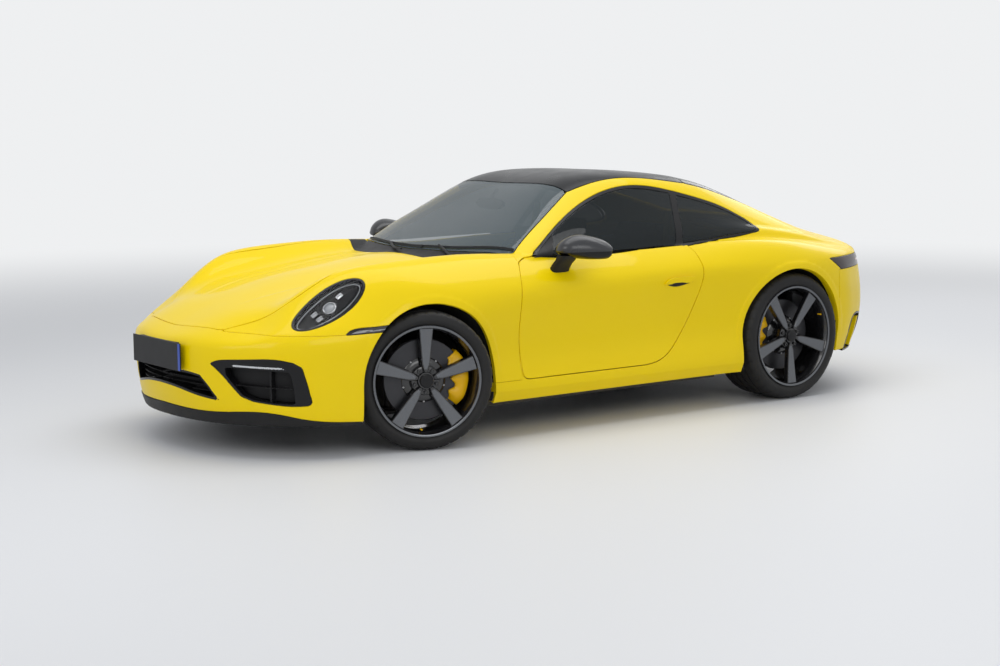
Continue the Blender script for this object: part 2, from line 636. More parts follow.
def finish(name, colour, roughness=0.5, metallic=0.0, coat=0.0, alpha=1.0, grains=900.0, relief=0.0,
        uneven=0.04, second=None, dust=0.0, specular=0.5):
    """A lacquered, moulded or metal surface with its own grain, uneven gloss and dust."""
    made = bpy.data.materials.new(name)
    made.use_nodes = True
    tree = made.node_tree
    nodes, links = tree.nodes, tree.links
    shader = nodes["Principled BSDF"]
    shader.inputs["Metallic"].default_value = metallic
    shader.inputs["Coat Weight"].default_value = coat
    shader.inputs["Coat Roughness"].default_value = 0.03
    shader.inputs["Specular IOR Level"].default_value = specular
    shader.inputs["Alpha"].default_value = alpha
    grain = nodes.new("ShaderNodeGroup")
    grain.node_tree = grain_group
    grain.inputs["Grains"].default_value = grains
    gloss = nodes.new("ShaderNodeMapRange")
    gloss.inputs["From Min"].default_value, gloss.inputs["From Max"].default_value = 0.3, 0.7
    gloss.inputs["To Min"].default_value, gloss.inputs["To Max"].default_value = max(roughness - uneven,
        0.01), roughness + uneven
    links.new(grain.outputs["Unevenness"], gloss.inputs["Value"])
    links.new(gloss.outputs[0], shader.inputs["Roughness"])
    if relief:
        bump = nodes.new("ShaderNodeBump")
        bump.inputs["Strength"].default_value = 0.6
        bump.inputs["Distance"].default_value = relief
        links.new(grain.outputs["Height"], bump.inputs["Height"])
        links.new(bump.outputs[0], shader.inputs["Normal"])
    tint = nodes.new("ShaderNodeMix")
    tint.data_type = "RGBA"
    tint.inputs["A"].default_value = (*colour, 1)
    tint.inputs["B"].default_value = (*(second or [c * 0.9 for c in colour]), 1)
    links.new(grain.outputs["Unevenness"], tint.inputs["Factor"])
    if dust:
        dusty = nodes.new("ShaderNodeGroup")
        dusty.node_tree = dust_group
        dusty.inputs["Amount"].default_value = dust
        over = nodes.new("ShaderNodeMix")
        over.data_type = "RGBA"
        over.inputs["B"].default_value = DUST_COLOUR
        links.new(tint.outputs["Result"], over.inputs["A"])
        links.new(dusty.outputs["Mask"], over.inputs["Factor"])
        tint = over
    links.new(tint.outputs["Result"], shader.inputs["Base Color"])
    return made


glass = finish("tinted_glass", (0.01, 0.015, 0.017), roughness=0.02, alpha=0.72, uneven=0.0, specular=0.25)
lens_red = finish("tail_lens", (0.016, 0.002, 0.002), roughness=0.14, specular=0.4)

GAP = 0.0021             # half of a shut line
SEAM = 0.0012            # half of a fixed joint
SILL_LOW = 0.186
WINDSCREEN_LINE = drawn([(777, -100)], ((772, 0), (738, 330), (612, 690)), ((108, 512), (132, 300), (140, 0)),
    [(140, -100)])
ROOF_LINE = drawn([(140, -100)], ((140, 0), (132, 300), (108, 512)), ((0, 511), (-300, 506), (-745, 500)),
    [(-745, -100)])
REAR_WINDOW_LINE = drawn([(-745, -100), (-745, 0)], ((-745, 500), (-1150, 490), (-1440, 440)),
    ((-1455, 425), (-1505, 250), (-1525, 0)), [(-1525, -100)])
BONNET_LINE = drawn([(2160, -100)], ((2160, 0), (2145, 200), (2112, 355)), ((2094, 388), (1960, 470),
        (1840, 545), (1700, 590), (1400, 612), (1000, 650), (760, 682)), ((735, 672), (815, 400), (850, 0)),
    [(850, -100)])
COWL_LINE = drawn([(850, -100)], ((850, 0), (815, 400), (735, 690)), [(612, 690)],
    ((612, 690), (738, 330), (772, 0)), [(772, -100)])
LID_LINE = drawn([(-1525, -100)], ((-1525, 0), (-1505, 250), (-1455, 425)),
    [(-1470, 440), (-1905, 440), (-1905, -100)])
SPOILER_LINE = drawn([(-1905, -100), (-1905, 560), (-2500, 560), (-2500, -100)])
DOOR_LINE = drawn(((628, 872), (600, 884), (450, 888), (-200, 893), (-533, 902)), ((-547, 860), (-549, 763),
        (-505, 613), (-404, 440), (-300, 345), (-190, 300), (-120, 292)), [(650, 292)],
    ((668, 294), (686, 308), (690, 340), (697, 500), (697, 640), (684, 750), (655, 830), (636, 862)))
DOOR_GLASS_LINE = drawn([(530, 886)], ((530, 886), (320, 1005), (96, 1117), (-100, 1184), (-305, 1209),
        (-575, 1174)), [(-465, 901)])
QUARTER_LINE = drawn(((-612, 1164), (-800, 1118), (-953, 1068), (-1070, 1010), (-1118, 976)),
    ((-1127, 962), (-1100, 950), (-1010, 940), (-780, 924), (-515, 908.5)))
TRIM_LINE = drawn([(545, 880)], ((556, 884), (330, 1013), (96, 1131), (-100, 1199), (-305, 1225),
        (-600, 1186), (-800, 1136), (-953, 1086), (-1090, 1016)), ((-1140, 974), (-1146, 955), (-1100, 940),
        (-1010, 930), (-780, 914), (-500, 893), (-200, 884), (300, 878)))
BUMPER_LINE = drawn([(2500, 100), (2500, 603)], ((2300, 603), (2108, 601), (1992, 594), (1686, 591),
        (1550, 593), (1420, 598)), [(1420, 100)])
LAMP_MIDDLE, LAMP_WAY = np.array((1.709, 0.712, 0.727)), np.array((0.62, 0.38, 0.68))
LAMP_WAY = LAMP_WAY / np.linalg.norm(LAMP_WAY)
LAMP_LONG, LAMP_WIDE = 0.205, 0.083
TAIL_LOW, TAIL_HIGH, TAIL_FRONT, REAR_SEAM = 0.712, 0.782, -1.512, -1.592

lamp_u = np.array((0.77, -0.17, -0.61))
lamp_u = lamp_u - LAMP_WAY * lamp_u.dot(LAMP_WAY)
lamp_u /= np.linalg.norm(lamp_u)
lamp_v = np.cross(LAMP_WAY, lamp_u)


def lamp_field(grow=0.0):
    """Inside the headlamp's oval, seen along its own line of sight."""
    def field(co):
        p = np.stack((co[:, 0], np.abs(co[:, 1]), co[:, 2]), 1) - LAMP_MIDDLE
        u, v = p @ lamp_u, p @ lamp_v
        a, b = LAMP_LONG + grow, LAMP_WIDE + grow
        reach = np.hypot(u / a, v / b)
        slope = np.hypot(u / a ** 2, v / b ** 2) / np.maximum(reach, 1e-6)
        return np.where(co[:, 0] > 1.2, (1 - reach) / np.maximum(slope, 1e-6), -1.0)
    return field


def arch_field(hub, radius):
    """Outside a wheel opening, which runs straight down below the hub."""
    def field(co):
        dx, dz = co[:, 0] - hub[0], co[:, 2] - hub[1]
        gap = np.where(dz > 0, np.hypot(dx, dz), np.abs(dx)) - radius
        return np.where(np.abs(co[:, 1]) > 0.5, gap, 1.0)
    return field


front_arch, rear_arch = arch_field(HUB_FRONT, ARCH_FRONT_R), arch_field(HUB_REAR, ARCH_REAR_R)
bonnet_nose = all_of(beyond(0, 1.9), central(0.388), beyond(2, 0.5), plan(BONNET_LINE, 0, -1))
bumper = either(profile(BUMPER_LINE), bonnet_nose)
rear_low = all_of(beyond(0, REAR_SEAM, -1), beyond(2, TAIL_LOW, -1))
SIDES = (("left", beyond(1, 0.0)), ("right", beyond(1, 0.0, -1)))

# Openings in the front bumper, in the (y, z) of its left half.
INTAKE_LINE = drawn(((405, 455), (440, 470), (486, 477), (600, 483), (700, 480), (735, 468)),
    ((757, 445), (767, 354), (772, 275)), ((764, 262), (731, 260), (660, 268), (589, 280)),
    ((539, 303), (502, 355), (467, 401), (429, 439)))
MOUTH_LINE = drawn([(-100, 412)], ((0, 412), (200, 409), (300, 402), (343, 395)),
    ((387, 347), (420, 300), (434, 283)), ((420, 279), (306, 294), (150, 318), (0, 326)), [(-100, 326)])
SPLITTER_LINE = drawn(((-100, 226), (0, 226), (453, 223), (700, 213), (760, 190), (800, 180), (1000, 178)),
    [(1000, 50), (-100, 50)])
MARKER_LINE = drawn(((1688, 592), (1670, 607), (1645, 616), (1560, 622), (1400, 634)), [(1400, 595)],
    ((1450, 596.5), (1560, 594), (1680, 590)))


def face_on(outline, gap=0.0):
    """Field of an outline drawn from ahead on the left half."""
    return lambda co: np.where(co[:, 0] > 1.4, within(outline, np.abs(co[:, 1]), co[:, 2]), -1.0) - gap


def flank_on(outline):
    """Field of an outline drawn from the side, on the body's sides alone."""
    return lambda co: np.where(np.abs(co[:, 1]) > 0.5, within(outline, co[:, 0], co[:, 2]), -1.0)


splitter_zone = face_on(SPLITTER_LINE)
FENDER_REAR_LINE = drawn([(632, 1200), (632, 872)], ((636, 862), (655, 830), (684, 750), (697, 640)),
    [(697, 100), (2500, 100), (2500, 1200)])
fender_rear = profile(FENDER_REAR_LINE)
marker = flank_on(MARKER_LINE)
upper = beyond(2, 0.6)
front_lip = [arch_field(HUB_FRONT, ARCH_FRONT_R + LIP_WIDE + more) for more in (0, LIP_SLOPE)]
rear_lip = [arch_field(HUB_REAR, ARCH_REAR_R + LIP_WIDE + more) for more in (0, LIP_SLOPE)]
VENT_LINE = drawn(((-1697, 222), (-1735, 330), (-1775, 418), (-1840, 438), (-1950, 428)),
    [(-1975, 360), (-1955, 222)])
STRIP_LINE = drawn([(-1915, 408), (-1893, 408), (-1838, 236), (-1862, 236)])
vent = all_of(flank_on(VENT_LINE), beyond(0, -1.5, -1))

paint = finish("body_paint", (0.9, 0.66, 0.0), roughness=0.42, coat=0.28, uneven=0.02,
    second=(0.915, 0.655, 0.0), specular=0.08)
roof_black = finish("roof_black", (0.009, 0.01, 0.012), roughness=0.3, specular=0.18)
trim_black = finish("trim_black", (0.005, 0.005, 0.006), roughness=0.2, specular=0.3)
plastic = finish("grained_plastic", (0.009, 0.009, 0.01), roughness=0.5, grains=700.0, relief=0.0004,
    dust=0.06, specular=0.25)

skin_panel("bonnet", [plan(BONNET_LINE, GAP), upper, no(lamp_field(0.004))], paint, ["bonnet"], body="bonnet")
skin_panel("front_fenders", [beyond(0, 0.6), profile(DOOR_LINE, GAP, -1), fender_rear, beyond(2, 0.292),
        front_arch, no(bumper, SEAM), no(marker, SEAM), plan(BONNET_LINE, GAP, -1),
        plan(COWL_LINE, 0.001, -1), plan(WINDSCREEN_LINE, 0.001, -1), no(lamp_field(0.004))], paint,
    ["front_fenders"], lines=front_lip)
skin_panel("cowl", [plan(COWL_LINE, 0.002), upper], plastic, ["cowl"])
windscreen_glass = finish("windscreen_glass", (0.085, 0.118, 0.132), roughness=0.02, alpha=0.55, uneven=0.0,
    specular=0.7)
skin_panel("windscreen", [plan(WINDSCREEN_LINE, 0.004), upper], windscreen_glass, ["windscreen"], depth=0.005)
skin_panel("roof_panel", [plan(ROOF_LINE, 0.0015), upper], roof_black, ["roof_panel"])
skin_panel("rear_window", [plan(REAR_WINDOW_LINE, 0.004), upper], glass, ["rear_window"], depth=0.005)
LOUVRE_PITCH, LOUVRE_HALF = 0.04, 0.008


def slots(co):
    """Inside evenly spaced slots that run along the car."""
    count = co[:, 1] / LOUVRE_PITCH - 0.5
    return LOUVRE_HALF - LOUVRE_PITCH * np.abs(count - np.round(count))


louvres = all_of(beyond(0, -1.61, -1), beyond(0, -1.86), central(0.32), slots)
skin_panel("engine_lid", [plan(LID_LINE, GAP), upper, no(louvres)], paint, ["engine_lid"], body="engine_lid",
    fine=1)
skin_panel("louvre_back", [plan(LID_LINE, 0.02), upper, beyond(0, -1.6, -1), beyond(0, -1.87), central(0.33)],
    plastic, body="engine_lid", depth=0.003, sink=0.024)
skin_panel("spoiler", [plan(SPOILER_LINE, GAP), beyond(2, TAIL_HIGH + 0.003)], paint, ["spoiler"],
    body="spoiler")


def lamp_end(co):
    """Behind the tail lamp's slanting front end."""
    return (TAIL_FRONT - co[:, 0] - (TAIL_HIGH - co[:, 2]) * 1.5) / 1.8


tail_band = all_of(lamp_end, beyond(2, TAIL_LOW), beyond(2, TAIL_HIGH, -1))
skin_panel("tail_lamp", [lambda co: lamp_end(co) - 0.001, beyond(2, TAIL_LOW + 0.001),
        beyond(2, TAIL_HIGH - 0.001, -1)], lens_red, ["tail_lamp"])
skin_panel("rear_bumper", [beyond(0, REAR_SEAM - SEAM, -1), beyond(2, TAIL_LOW - 0.0015, -1), rear_arch,
        beyond(2, 0.238), no(vent, SEAM), no(all_of(beyond(0, -1.8, -1), central(0.56), beyond(2, 0.345, -1)),
            0.001)], paint, ["rear_bumper"], lines=rear_lip)
skin_panel("front_bumper", [bumper, beyond(0, 1.42), front_arch, no(splitter_zone, SEAM),
        plan(BONNET_LINE, GAP, -1), no(marker, SEAM), no(face_on(INTAKE_LINE), SEAM),
        no(face_on(MOUTH_LINE), SEAM), no(lamp_field(0.004))], paint, ["front_bumper"], lines=front_lip)
for side_name, half in SIDES:
    skin_panel(f"door_{side_name}", [profile(DOOR_LINE, GAP), half], paint, [f"door_{side_name}"],
        body=f"door_{side_name}", depth=(0.02, 0.07, 0.01))
    skin_panel(f"side_frame_{side_name}", [half, either(no(fender_rear, SEAM),
                all_of(beyond(2, 0.292 - SEAM, -1), beyond(0, 1.0, -1))), beyond(2, SILL_LOW), rear_arch,
            front_arch, no(rear_low, SEAM), profile(DOOR_LINE, GAP, -1), profile(TRIM_LINE, 0.001, -1),
            plan(WINDSCREEN_LINE, 0.001, -1), plan(ROOF_LINE, 0.001, -1), plan(REAR_WINDOW_LINE, 0.001, -1),
            plan(LID_LINE, GAP, -1), plan(SPOILER_LINE, GAP, -1), no(tail_band, 0.001)], paint,
        [f"side_frame_{side_name}"], depth=(0.02, 0.045, 0.03), lines=rear_lip + [beyond(2, SILL_CREASE_Z),
            beyond(2, SILL_CREASE_Z - 0.004)])
    skin_panel(f"door_glass_{side_name}", [profile(DOOR_GLASS_LINE, 0.003), half], glass,
        [f"door_glass_{side_name}"], body=f"door_{side_name}", depth=0.005)
    skin_panel(f"quarter_glass_{side_name}", [profile(QUARTER_LINE, 0.003), half], glass, ["quarter_glass"],
        depth=0.005)
    skin_panel(f"window_trim_{side_name}", [profile(TRIM_LINE, 0.0015), half,
            profile(DOOR_GLASS_LINE, -0.001, -1), profile(QUARTER_LINE, -0.001, -1),
            no(all_of(beyond(2, 0.9, -1), beyond(0, -0.5)))], trim_black, depth=0.012, roll=0.0015)

# ------------------------------------------------------------------ tyres and wheels
# Low-profile road tyres on five-spoke cast wheels: gloss-black castings with satin grey
# spoke faces and rim lip. Wheel, disc and bolts turn together.
def made(name, parts, material, body, nodes=(), slot=None, bevel=0.0, angle=32.0, place=None, mirror=False):
    """One piece from closed shapes given as (corners, faces), turned the right way out."""
    bm = bmesh.new()
    for co, faces in parts:
        co = np.array(co, float)
        if mirror:
            co = co * (1, -1, 1)
        corners = [bm.verts.new(p) for p in co.tolist()]
        for face in faces:
            bm.faces.new([corners[i] for i in face])
    bmesh.ops.recalc_face_normals(bm, faces=bm.faces)
    mesh = bpy.data.meshes.new(name)
    bm.to_mesh(mesh)
    bm.free()
    if place is not None:
        mesh.transform(place)
    mesh.shade_smooth()
    mesh.set_sharp_from_angle(angle=math.radians(angle))
    mesh.materials.append(material)
    piece = bpy.data.objects.new(name, mesh)
    scene.collection.objects.link(piece)
    if bevel:
        rounded = piece.modifiers.new("rounded edges", "BEVEL")
        rounded.width, rounded.segments, rounded.limit_method = bevel, 2, "ANGLE"
        rounded.angle_limit = math.radians(angle)
        rounded.harden_normals = True
    return settle(piece, body, nodes, slot)


def turned(outline, steps=96, cut=None):
    """Ring from a closed outline of (y, radius) about the Y axis."""
    n = len(outline)
    y, r = np.array(outline, float).T
    t = np.arange(steps)[:, None] * 2 * math.pi / steps
    radius = r + (cut(np.arange(steps)[:, None], y, r) if cut else 0)
    co = np.stack((radius * np.sin(t), y + 0 * t, radius * np.cos(t)), -1).reshape(-1, 3)
    faces = [(i * n + j, i * n + (j + 1) % n, (i + 1) % steps * n + (j + 1) % n, (i + 1) % steps * n + j)
        for i in range(steps) for j in range(n)]
    return co, faces


def dome(outline, steps=32):
    """Closed round shape from an outline of (y, radius) that starts and ends off the axis."""
    n = len(outline)
    t = np.arange(steps)[:, None] * 2 * math.pi / steps
    y, r = np.array(outline, float).T
    co = np.stack((r * np.sin(t), y + 0 * t, r * np.cos(t)), -1).reshape(-1, 3)
    faces = [(i * n + j, i * n + j + 1, (i + 1) % steps * n + j + 1, (i + 1) % steps * n + j)
        for i in range(steps) for j in range(n - 1)]
    faces += [[i * n for i in range(steps)], [i * n + n - 1 for i in range(steps)]]
    return co, faces


def lofted(rings):
    """Closed shape through rings of as many corners each."""
    n = len(rings[0])
    co = np.concatenate([np.array(ring, float) for ring in rings])
    faces = [(i * n + j, i * n + (j + 1) % n, (i + 1) * n + (j + 1) % n, (i + 1) * n + j)
        for i in range(len(rings) - 1) for j in range(n)]
    return co, faces + [list(range(n)), list(range(len(co) - n, len(co)))]


def spun(shape, degrees):
    """The shape turned about the wheel's axis, clockwise as seen from outside on the left."""
    a = math.radians(degrees)
    c, s = math.cos(a), math.sin(a)
    co = np.array(shape[0])
    return np.stack((co[:, 0] * c + co[:, 2] * s, co[:, 1], co[:, 2] * c - co[:, 0] * s), 1), shape[1]


def lifted(shape, z):
    return np.array(shape[0]) + (0, 0, z), shape[1]


# Grooves round the tread are placed for a tyre of this half width, and scaled to others.
GROOVES, GROOVES_HALF = (0.062, 0.021, -0.021, -0.062), 0.122
GROOVE_HALF, GROOVE_DEEP, CROWN_DROP, TYRE_STEPS = 0.0045, 0.007, 0.0035, 216
SIPE_EVERY, SIPE_OFFSET, SHOULDER_DEEP, MIDDLE_DEEP = 6, 3, -0.0045, -0.003


def tyre_shape(radius, half, rim):
    """Tyre with grooves round it and cuts across its tread."""
    side = through((half - 0.013, rim - 0.004), (half - 0.004, rim + 0.01), (half, rim + 0.026),
        (half - 0.001, radius - 0.036), (half - 0.01, radius - 0.015), (half - 0.026, radius - 0.0045))
    crown = []
    for groove in GROOVES:
        y = groove * half / GROOVES_HALF
        for at, deep in ((y + GROOVE_HALF, 0), (y + GROOVE_HALF - 0.001, GROOVE_DEEP),
                (y - GROOVE_HALF + 0.001, GROOVE_DEEP), (y - GROOVE_HALF, 0)):
            crown.append((at, radius - CROWN_DROP * (at / half) ** 2 - deep))
    far = [(-y, r) for y, r in side[::-1]]
    outline = side + crown + far + [(-half + 0.02, rim + 0.004), (half - 0.02, rim + 0.004)]

    def tread(step, y, r):
        shoulder = (np.abs(y) > 0.6 * half) & (r > radius - 0.017)
        middle = (np.abs(y) < 0.45 * half) & (r > radius - 0.003)
        deep = np.where(shoulder, SHOULDER_DEEP, np.where(middle, MIDDLE_DEEP, 0))
        return np.where((step + np.where(middle, SIPE_OFFSET, 0)) % SIPE_EVERY == 0, deep, 0)
    return turned(outline, TYRE_STEPS, tread)


def spoke(rim, face_y, grow, deep, top, ends):
    """A spoke that widens from hub to rim, or the plate on its face."""
    rings = []
    for share in np.linspace(0, 1, 7):
        r = ends[0] + (rim - ends[1] - ends[0]) * share
        half = (0.0125 + 0.019 * share) + grow
        y = face_y - 0.015 + 0.012 * share ** 1.5 - top
        draw = 0.35 if share == 0 else 1.0
        rings.append([(-half * draw, y, r), (half * draw, y, r), (half + deep * 0.22, y - deep, r),
                (-half - deep * 0.22, y - deep, r)])
    return lofted(rings)


rubber = finish("tyre_rubber", (0.008, 0.008, 0.0085), roughness=0.58, grains=500.0, relief=0.0003,
    uneven=0.08, second=(0.012, 0.0115, 0.011), dust=0.05, specular=0.3)
wheel_black = finish("wheel_black", (0.008, 0.008, 0.009), roughness=0.18, coat=0.6, dust=0.03)
wheel_grey = finish("wheel_grey", (0.15, 0.156, 0.166), roughness=0.24, metallic=0.8)
disc_grey = finish("brake_disc", (0.05, 0.05, 0.054), roughness=0.38, metallic=0.8, grains=260.0,
    relief=0.0002, uneven=0.1)
bolt_steel = finish("bolt_steel", (0.42, 0.42, 0.43), roughness=0.3, metallic=1.0)
caliper_yellow = finish("caliper_yellow", (0.84, 0.47, 0.002), roughness=0.36, coat=0.3, specular=0.15)
PARKED_STEER, KINGPIN_Y = math.radians(-18), 0.78
# Axle; hub; tyre's middle across; tyre radius and width; rim radius; first spoke and valve in degrees.
AXLES = (("front", HUB_FRONT, 0.795, 0.34, 0.245, 0.272, 0, 173), ("rear", HUB_REAR, 0.768, 0.358, 0.3,
        0.2835, 180, 295))
for axle, hub, mid_y, tyre_r, tyre_w, rim_r, first_spoke, valve in AXLES:
    half = tyre_w / 2
    face_y = half - 0.012
    rim_half = half - 0.002
    barrel = turned([(-rim_half, rim_r - 0.001), (-rim_half, rim_r - 0.012),
            (-rim_half + 0.02, rim_r - 0.022), (face_y - 0.05, rim_r - 0.026), (face_y - 0.012, rim_r - 0.02),
            (face_y - 0.002, rim_r - 0.0125), (rim_half - 0.004, rim_r - 0.01),
            (rim_half - 0.001, rim_r - 0.006), (rim_half - 0.004, rim_r), (rim_half - 0.012, rim_r),
            (rim_half - 0.03, rim_r - 0.01), (-rim_half + 0.03, rim_r - 0.01), (-rim_half + 0.01, rim_r)],
        120)
    lip = turned([(rim_half - 0.0035, rim_r + 0.001), (rim_half + 0.0015, rim_r - 0.001),
            (rim_half + 0.0015, rim_r - 0.006), (rim_half - 0.001, rim_r - 0.0115),
            (rim_half - 0.008, rim_r - 0.0115), (rim_half - 0.008, rim_r - 0.002)], 120)
    hub_shape = dome([(-0.02, 0.045), (-0.02, 0.072), (face_y - 0.06, 0.078), (face_y - 0.034, 0.07),
            (face_y - 0.03, 0.06), (face_y - 0.03, 0.044), (face_y - 0.017, 0.04), (face_y - 0.015, 0.02)],
        60)
    turns = [first_spoke + 72 * k for k in range(5)]
    black = [barrel, hub_shape] + [spun(spoke(rim_r, face_y, 0.0035, 0.024, 0.002, (0.042, 0.012)), t)
        for t in turns]
    grey = [spun(spoke(rim_r, face_y, 0.0, 0.004, 0.0, (0.056, 0.0165)), t) for t in turns]
    cap = dome([(face_y - 0.02, 0.03), (face_y - 0.009, 0.034), (face_y - 0.0055, 0.031),
            (face_y - 0.004, 0.02), (face_y - 0.0035, 0.004)], 48)
    bolts = [spun(lifted(dome([(face_y - 0.034, 0.01), (face_y - 0.02, 0.01), (face_y - 0.018, 0.0085),
                        (face_y - 0.018, 0.005), (face_y - 0.022, 0.0045), (face_y - 0.022, 0.001)], 12),
                0.0585), t + 36) for t in turns]
    disc = [turned([(0.008, 0.098), (0.042, 0.098), (0.042, 0.197), (0.04, 0.2), (0.029, 0.2), (0.029, 0.19),
                (0.021, 0.19), (0.021, 0.2), (0.01, 0.2), (0.008, 0.197)], 96)]
    hat = [turned([(0.036, 0.06), (0.05, 0.06), (0.055, 0.066), (0.055, 0.088), (0.047, 0.106),
                (0.0415, 0.112), (0.036, 0.1)], 72)]
    studs = [spun(lifted(dome([(0.04, 0.0052), (0.0475, 0.0052), (0.049, 0.003), (0.049, 0.001)], 10), 0.107),
            36 * k) for k in range(10)]
    stem = spun(lifted(dome([(face_y - 0.03, 0.0035), (face_y - 0.006, 0.0046), (face_y - 0.0045, 0.0038),
                    (face_y - 0.0045, 0.001)], 14), rim_r - 0.034), valve)
    for side_name, sign in (("left", 1), ("right", -1)):
        if axle == "front":
            place = (Matrix.Translation((hub[0], sign * KINGPIN_Y, hub[1]))
                @ Matrix.Rotation(PARKED_STEER, 4, "Z")
                @ Matrix.Translation((0, sign * (mid_y - KINGPIN_Y), 0)))
        else:
            place = Matrix.Translation((hub[0], sign * mid_y, hub[1]))
        body = f"wheel_{axle}_{side_name}"
        common = dict(body=body, place=place, mirror=sign < 0)
        tag = f"{axle}_{side_name}"
        made(f"tyre_{tag}", [tyre_shape(tyre_r, half, rim_r)], rubber, nodes=[f"tyre_{tag}"],
            slot="tyre_rubber", angle=40, **common)
        made(f"wheel_{tag}", black, wheel_black, nodes=[f"wheel_{tag}"], slot="wheel_alloy", bevel=0.0012,
            **common)
        made(f"spoke_faces_{tag}", grey, wheel_grey, bevel=0.001, **common)
        for kind, shapes, material in (("rim_lip", [lip], wheel_grey), ("centre_cap", [cap], trim_black),
                ("wheel_bolts", bolts, wheel_black), ("brake_disc", disc, disc_grey),
                ("disc_hat", hat, wheel_black), ("disc_studs", studs, bolt_steel),
                ("valve_cap", [stem], caliper_yellow)):
            made(f"{kind}_{tag}", shapes, material, **common)
        towards = math.pi if axle == "front" else 0.0
        rings = []
        for share in np.linspace(-1, 1, 25):
            a = towards + math.radians(39) * share
            swell = 1 - 0.55 * abs(share) ** 5
            bump = 0.004 * math.cos(share * 3 * math.pi)
            low, high = 0.008 - 0.026, 0.042 + 0.022 * swell + bump * 0.6
            inner = 0.152 - 0.014 * math.cos(share * 3 * math.pi) * swell
            outer = 0.229 - 0.012 * abs(share) ** 3
            loop = [(low, inner), (high - 0.008, inner - 0.002), (high, inner + 0.012),
                (high, outer - 0.02 + bump), (high - 0.01, outer - 0.004), (0.03, outer),
                (low, outer - 0.002)]
            rings.append([(math.cos(a) * r, y, math.sin(a) * r) for y, r in loop])
        carrier = "knuckle_" + side_name if axle == "front" else SHELL
        made(f"caliper_{tag}", [lofted(rings)], caliper_yellow, carrier,
            [f"caliper_{side_name}" if axle == "front" else "rear_calipers"], "caliper_paint", bevel=0.002,
            angle=40, place=place, mirror=sign < 0)

# ------------------------------------------------------------------ front openings
# Black moulded frames, grille bars, light bars, marker strips, splitter and a bare plate,
# clipped into the painted bumper.
light_bar = finish("light_bar", (0.62, 0.64, 0.66), roughness=0.12, coat=1.0)
marker_grey = finish("marker_lens", (0.1, 0.105, 0.11), roughness=0.12, coat=1.0)
plate_black = finish("plate_black", (0.006, 0.006, 0.007), roughness=0.35, specular=0.2)
plate_blue = finish("plate_blue", (0.02, 0.07, 0.42), roughness=0.35)
OPENING_LINE = drawn(((480, 440), (560, 438.5), (660, 431), (722, 422)), ((728, 400), (731, 330), (730, 272)),
    ((722, 268), (660, 274), (589, 287)), ((548, 308), (512, 358), (484, 402)))
LIGHT_LINE = drawn([(516, 455.5), (700, 446.5), (716, 434.5), (700, 437.5), (516, 446.5)])
BAR_LINE = drawn([(460, 360.5), (760, 341.5), (760, 336.5), (460, 355.5)])
POST_LINE = drawn([(659.5, 460), (666.5, 460), (652, 250), (645, 250)])
MARKER_LENS = drawn(((1665, 596), (1640, 605), (1560, 609), (1480, 612)),
    ((1475, 604), (1560, 601), (1660, 594)))
for side_name, half in SIDES:
    skin_panel(f"intake_frame_{side_name}", [face_on(INTAKE_LINE), half, no(face_on(OPENING_LINE))],
        trim_black, ["front_grille"], depth=(0.05, 0.03, 0.03), roll=0.004, fine=1)
    skin_panel(f"intake_back_{side_name}", [face_on(INTAKE_LINE, 0.004), half], plastic, ["front_grille"],
        depth=0.008, sink=0.058)
    for tag, outline, sink in (("bar", BAR_LINE, 0.014), ("post", POST_LINE, 0.02)):
        skin_panel(f"intake_{tag}_{side_name}", [face_on(OPENING_LINE, -0.004), half, face_on(outline)],
            plastic, depth=(0.046, 0.03, 0.03), roll=0.001, sink=sink, fine=1)
    skin_panel(f"light_bar_{side_name}", [face_on(LIGHT_LINE), half], light_bar, depth=0.004, roll=0.001,
        sink=-0.0015, fine=1)
    skin_panel(f"marker_{side_name}", [marker, half, front_arch], trim_black, roll=0.003, depth=0.012, fine=1)
    skin_panel(f"marker_lens_{side_name}", [flank_on(MARKER_LENS), half, front_arch], marker_grey,
        depth=0.003, roll=0.001, sink=-0.001, fine=1)
skin_panel("mouth_back", [face_on(MOUTH_LINE, -0.006)], plastic, ["front_grille"], depth=0.008, sink=0.075)
for row, z in enumerate((0.312, 0.34, 0.368)):
    skin_panel(f"mouth_bar_{row}", [face_on(MOUTH_LINE, -0.004), lambda co,
            z=z: 0.0025 - np.abs(co[:, 2] - z)], plastic, depth=(0.045, 0.02, 0.02), roll=0.0008, sink=0.034,
        fine=1)
skin_panel("mouth_lining", [face_on(MOUTH_LINE, -0.003), no(face_on(MOUTH_LINE, 0.01))], trim_black,
    depth=(0.07, 0.02, 0.02), roll=0.002, sink=0.003, fine=1)
skin_panel("splitter", [splitter_zone, front_arch, beyond(0, 1.62), beyond(2, 0.164)], plastic,
    ["front_grille"], depth=(0.03, 0.03, 0.0), roll=0.004, sink=-0.004)


# A tray closes the nose below, just inside the skin.
TRAY_HALF, TRAY_REAR, TRAY_INSET = 0.79, 1.6, 0.006
tray_y = np.linspace(-TRAY_HALF, TRAY_HALF, 41)
tray_start = np.stack((0 * tray_y, tray_y, 0 * tray_y + 0.168), 1)
tray_x = reach_skin(tray_start, np.array((1, 0, 0)), 1.0, 2.4, 30) - TRAY_INSET
tray_edge = list(zip(tray_x, tray_y)) + [(TRAY_REAR, TRAY_HALF), (TRAY_REAR, -TRAY_HALF)]
made("nose_tray", [lofted([[(x, y, z) for x, y in tray_edge] for z in (0.162, 0.169)])], plastic, SHELL,
    ["front_grille"], "black_plastic")


def plain_box(x, y, z):
    return lofted([[(x[0], y[0], h), (x[1], y[0], h), (x[1], y[1], h), (x[0], y[1], h)] for h in z])


